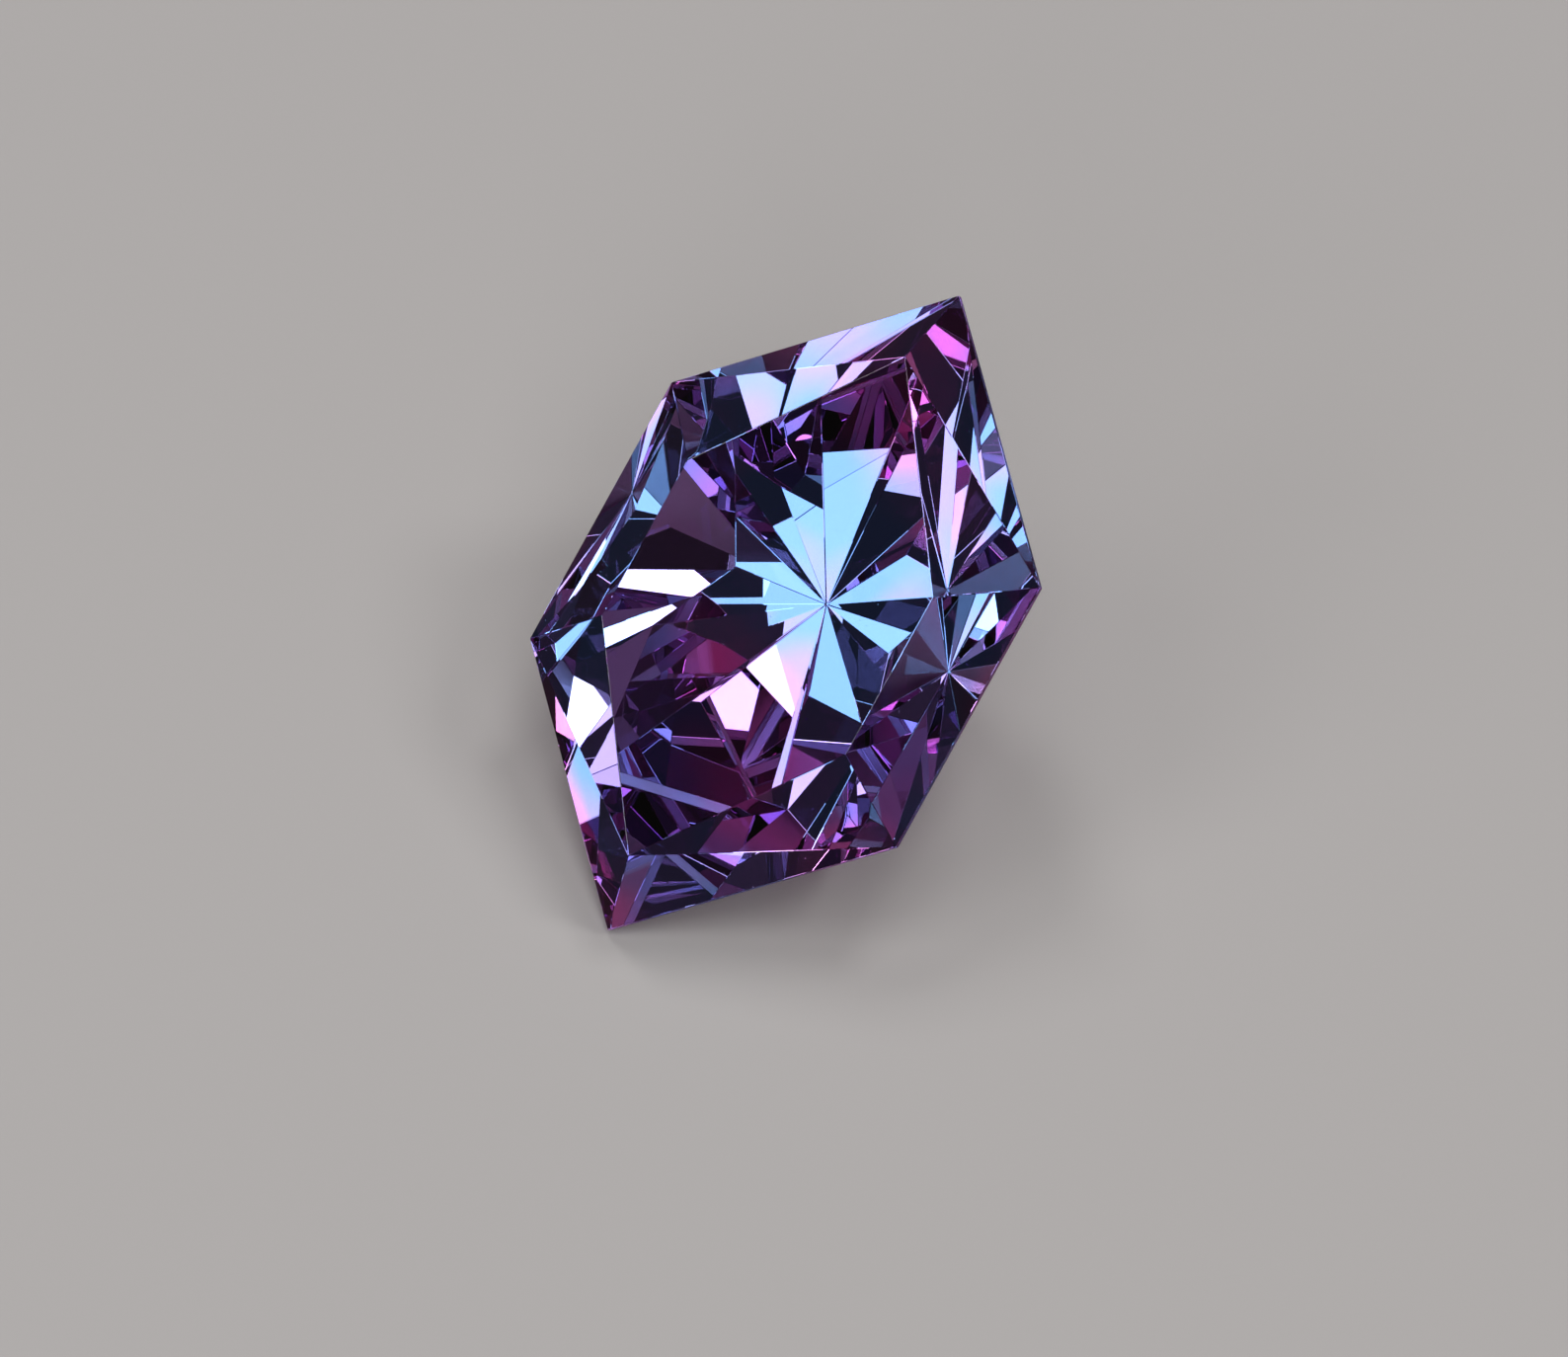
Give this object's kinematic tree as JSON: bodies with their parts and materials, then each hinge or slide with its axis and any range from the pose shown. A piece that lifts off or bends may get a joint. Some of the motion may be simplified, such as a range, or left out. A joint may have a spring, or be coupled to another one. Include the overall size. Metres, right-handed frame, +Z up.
{
  "type": "fancy cut alexandrite",
  "caption": "Loose transparent gemstone in a long hexagonal fancy cut with pointed ends, a flat table and a deep faceted pavilion, lying on a pavilion facet.",
  "frame": {"origin": "middle of the bounding box at its base, in the plane of the facet that the stone lies on", "axes": "+Z up, away from the resting facet; X along the stone's long axis as seen from above, +X towards its raised point"},
  "size_m": [0.006, 0.0044, 0.0049],
  "materials": {
    "alexandrite": "polished transparent crystal, deep red violet with blue and lilac flashes"
  },
  "bodies": {
    "root": {"alexandrite": "alexandrite"}
  },
  "joints": []
}
